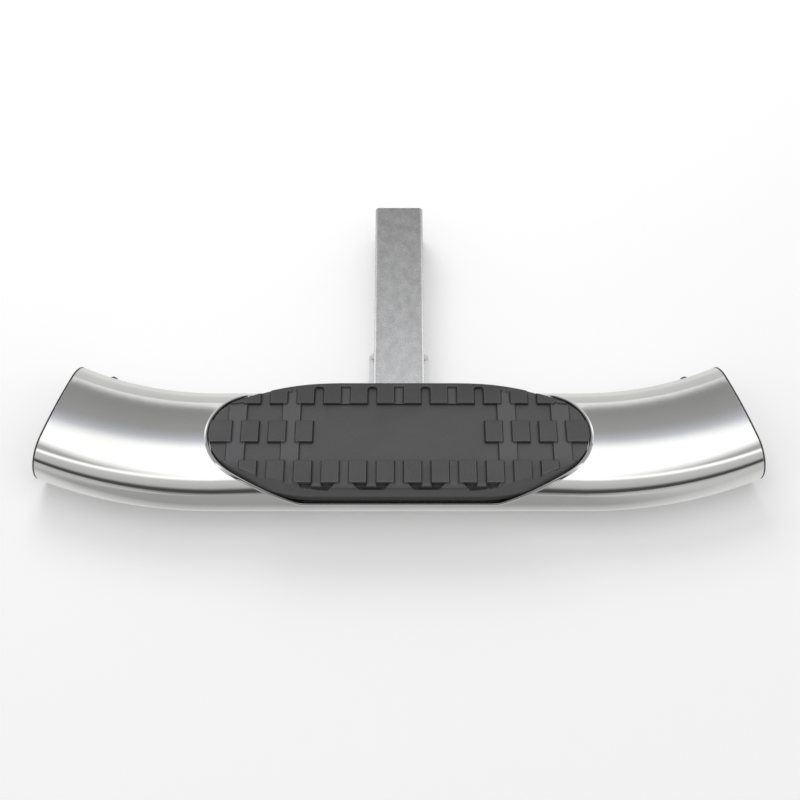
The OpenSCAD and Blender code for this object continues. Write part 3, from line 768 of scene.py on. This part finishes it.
def make_rim():
    lowest_y = EDGE_Y + math.sqrt(EDGE_R**2 - LEDGE**2)
    path = rim_path(lowest_y)
    tangents = np.gradient(path, axis=0)
    tangents /= np.linalg.norm(tangents, axis=1)[:, None]
    verts, faces = [], []
    for k, (point, tangent) in enumerate(zip(path, tangents)):
        low = np.clip((RIM_LOW_Z - point[2]) / RIM_LOW_RUN, 0, 1)
        normal = np.array([0.0, *on_tube(max(point[1], -lowest_y))[1]])
        normal -= tangent * normal.dot(tangent)
        normal /= np.linalg.norm(normal)
        outward = np.cross(tangent, normal)
        from_end = min(min(k, len(path) - 1 - k) / RIM_TAPER_STEPS, 1)
        size = math.sin(from_end * math.pi / 2) * (1 - RIM_TAPER) + RIM_TAPER
        width, height = RIM_W * size, RIM_H * size * (1 - RIM_LOWER * low)
        centre = point + outward * RIM_W
        ring = [centre + outward * width * u + normal * height * v for u, v in RIM_SECTION]
        deep = (RIM_DEEP - RIM_DEEP_LESS * low) * size
        ring.append(centre - outward * (width - RIM_TUCK * size) - normal * deep)
        ring.append(centre + outward * (width - RIM_TUCK_OUT * size) - normal * RIM_DEEP_OUT * size)
        verts += ring
    count = len(RIM_SECTION) + 2
    # Painted shade: 1 on the side toward the pad, 0 on the outer side, for the material to darken
    inner = [float(np.clip((INNER_SHADE_FROM - u) / INNER_SHADE_RUN, 0, 1)) for u, _ in RIM_SECTION] + [1.0, 0.0]
    for k in range(len(path) - 1):
        for j in range(count):
            a, b = k * count + j, k * count + (j + 1) % count
            faces.append([a, b, b + count, a + count])
    faces.append(list(range(count)))
    faces.append([(len(path) - 1) * count + j for j in reversed(range(count))])
    # The mesh carries the share of painted shade on its vertices
    marks = {"inner": inner * len(path)}
    return new_piece("recess_rim", verts, faces, marks, sharp_angle=60, merge=False)


rim = make_rim()
paint(rim, materials["polished_steel"])
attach(rim, "root")

# Floor: pale, and white where nothing shades it
FLOOR_Z, FLOOR_SIZE = -0.0256, 40
# What the metal sees of it: three levels in front of the step, from 1 m left to 1 m right, and one from
# under the step backwards
FRONT_LEVELS = [(0.25, 0.50), (0.32, 0.31), (0.60, 0.31), (0.68, 0.55)]
BEHIND_LEVEL, BEHIND_FROM, BEHIND_TO = 0.72, -0.332, -0.282

bpy.ops.mesh.primitive_plane_add(size=FLOOR_SIZE, location=(0, 0, FLOOR_Z))
floor = bpy.context.object
floor.name = "floor"
floor_mat, tree, bsdf = new_material("floor")
ray = tree.nodes.new("ShaderNodeLightPath").outputs
place = axes(tree, tree.nodes.new("ShaderNodeNewGeometry").outputs["Position"])
behind = remap(tree, place["Y"], 0.0, 1.0, start=BEHIND_FROM, end=BEHIND_TO)
front = ramp(tree, remap(tree, place["X"], 0.0, 1.0, start=-1.0, end=1.0), FRONT_LEVELS)
mirrored = mix(tree, behind, front, grey(BEHIND_LEVEL))
seen = mix(tree, ray["Is Camera Ray"], grey(0.0), grey(0.05))
shade(tree, bsdf, mix(tree, ray["Is Glossy Ray"], grey(0.97), grey(0.08)), 0.9)
bsdf.inputs["Specular IOR Level"].default_value = 0.1
feed(tree, bsdf.inputs["Emission Color"], mix(tree, ray["Is Glossy Ray"], seen, mirrored))
bsdf.inputs["Emission Strength"].default_value = 1.0
paint(floor, floor_mat)

# World: its level by the angle in degrees, from the horizon behind the step, over the top, to the
# horizon in front: a bright low backdrop behind, a grey gap, a wide soft box overhead, and a darker front
SKY_PEAK = 1.3
SKY = [
    (0, 0.78), (12, 0.68), (34, 0.64), (40, 0.66), (41.2, 0.98), (43.2, 0.98), (43.9, 0.28), (48, 0.315),
    (55, 0.37), (58.7, (0.56, 0.58, 0.64)), (62, 1.30), (90, 1.30), (118.5, 1.28), (124, 0.66),
    (141, 0.57), (150, 0.50), (157, 0.20), (161, 0.07), (170, 0.07), (175, 0.32), (180, 0.36),
]
SIDE_LEVEL, BACK_SIDE_LEVEL, FRONT_SIDE_LEVEL = 0.46, 1.3, 0.52
# Where each side's level takes over. A turn of 1 is 180 degrees. FRONT_SIDES runs from 0 on the left to 1
# on the right, and BACK_SIDES from 0 in the middle to 1 at either side
BOX_TURN = [(0.28, 0.0), (0.34, 1.0), (0.60, 1.0), (0.625, 0.0)]
BOX_LEAN = [(0.42, 0.0), (0.76, 1.0)]
BOX_CORNER, CORNER_FROM, CORNER_TO = 0.28, 0.40, 0.62
BACK_TURN, BACK_SIDES = [(0.08, 1.0), (0.16, 0.0)], [(0.62, 0.0), (0.72, 1.0)]
FRONT_TURN = [(0.945, 0.0), (0.965, 1.0)]
FRONT_SIDES = [(0.20, 1.0), (0.35, 0.0), (0.56, 0.0), (0.66, 1.0)]


def sky_level(level):
    """A level as a share of the brightest one, which the world's strength gives back."""
    return tuple(v / SKY_PEAK for v in (level if isinstance(level, tuple) else grey(level)))


world = bpy.data.worlds.new("studio")
scene.world = world
world.use_nodes = True
tree = world.node_tree
toward = axes(tree, tree.nodes.new("ShaderNodeTexCoord").outputs["Generated"])
turn = calculate(tree, "MULTIPLY", calculate(tree, "ARCTAN2", toward["Z"], toward["Y"]), 1 / math.pi)
sky = ramp(tree, turn, [(degrees / 180, sky_level(level)) for degrees, level in SKY])
# Both sides of the soft box end where the view leans out to the side, and its front corners are round
side = calculate(tree, "ABSOLUTE", toward["X"])
lean = calculate(tree, "DIVIDE", side, toward["Z"])
corner = calculate(tree, "ADD", lean, remap(tree, turn, 0.0, BOX_CORNER, start=CORNER_FROM, end=CORNER_TO))
beside = calculate(tree, "MULTIPLY", ramp(tree, corner, BOX_LEAN), ramp(tree, turn, BOX_TURN))
sky = mix(tree, beside, sky, sky_level(SIDE_LEVEL))
# Low behind, the room is bright to both sides
beyond = calculate(tree, "MULTIPLY", ramp(tree, side, BACK_SIDES), ramp(tree, turn, BACK_TURN))
sky = mix(tree, beyond, sky, sky_level(BACK_SIDE_LEVEL))
# Low in front, the room is brighter to both sides
across = remap(tree, toward["X"], 0.0, 1.0, start=-1.0, end=1.0)
lit = calculate(tree, "MULTIPLY", ramp(tree, across, FRONT_SIDES), ramp(tree, turn, FRONT_TURN))
sky = mix(tree, lit, sky, sky_level(FRONT_SIDE_LEVEL))
background = tree.nodes["Background"]
tree.links.new(sky, background.inputs["Color"])
background.inputs["Strength"].default_value = SKY_PEAK

# One soft key behind, a little to the left
key_data = bpy.data.lights.new("key", "AREA")
key_data.shape = "RECTANGLE"
key_data.size = 1.2
key_data.size_y = 0.9
key_data.energy = 12
key = bpy.data.objects.new("key", key_data)
scene.collection.objects.link(key)
key.location = (-0.35, 1.25, 1.35)
key.rotation_euler = (math.radians(-46), 0, math.radians(14))
key.visible_camera = False
key.visible_glossy = False

# Camera: the photograph's angle
camera_data = bpy.data.cameras.new("camera")
camera_data.sensor_width = 36
camera_data.lens = 67.37
camera = bpy.data.objects.new("camera", camera_data)
scene.collection.objects.link(camera)
camera.location = (0.0010, -1.0560, 1.2199)
camera.rotation_euler = (math.radians(36), 0, 0)
scene.camera = camera

scene.view_settings.view_transform = "Standard"
